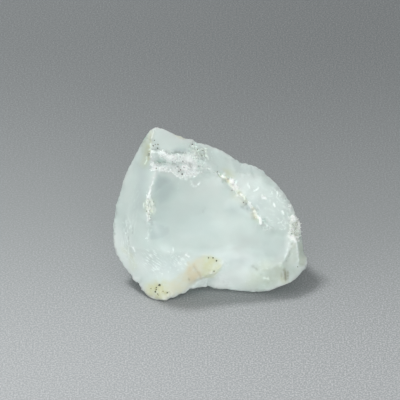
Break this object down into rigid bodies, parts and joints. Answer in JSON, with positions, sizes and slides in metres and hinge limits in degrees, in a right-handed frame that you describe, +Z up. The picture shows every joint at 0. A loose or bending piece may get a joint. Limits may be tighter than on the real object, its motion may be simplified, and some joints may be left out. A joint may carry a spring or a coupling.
{
  "type": "rough aquamarine",
  "caption": "Rough broken aquamarine, milky pale blue-green: a smooth prism face, a hollowed fracture face and sugary white ridges; it rests on a level underside.",
  "frame": {"origin": "centre of the bounding box in plan, on the level underside", "axes": "+X to the right across the broken face, the longest way; +Y from the broken face to the hidden prism faces; +Z up out of the resting underside"},
  "size_m": [0.028, 0.0172, 0.0222],
  "materials": {
    "beryl": "vitreous on the breaks, frosted on the ridges, milky and translucent"
  },
  "bodies": {
    "root": {"aquamarine": "beryl"}
  },
  "joints": []
}
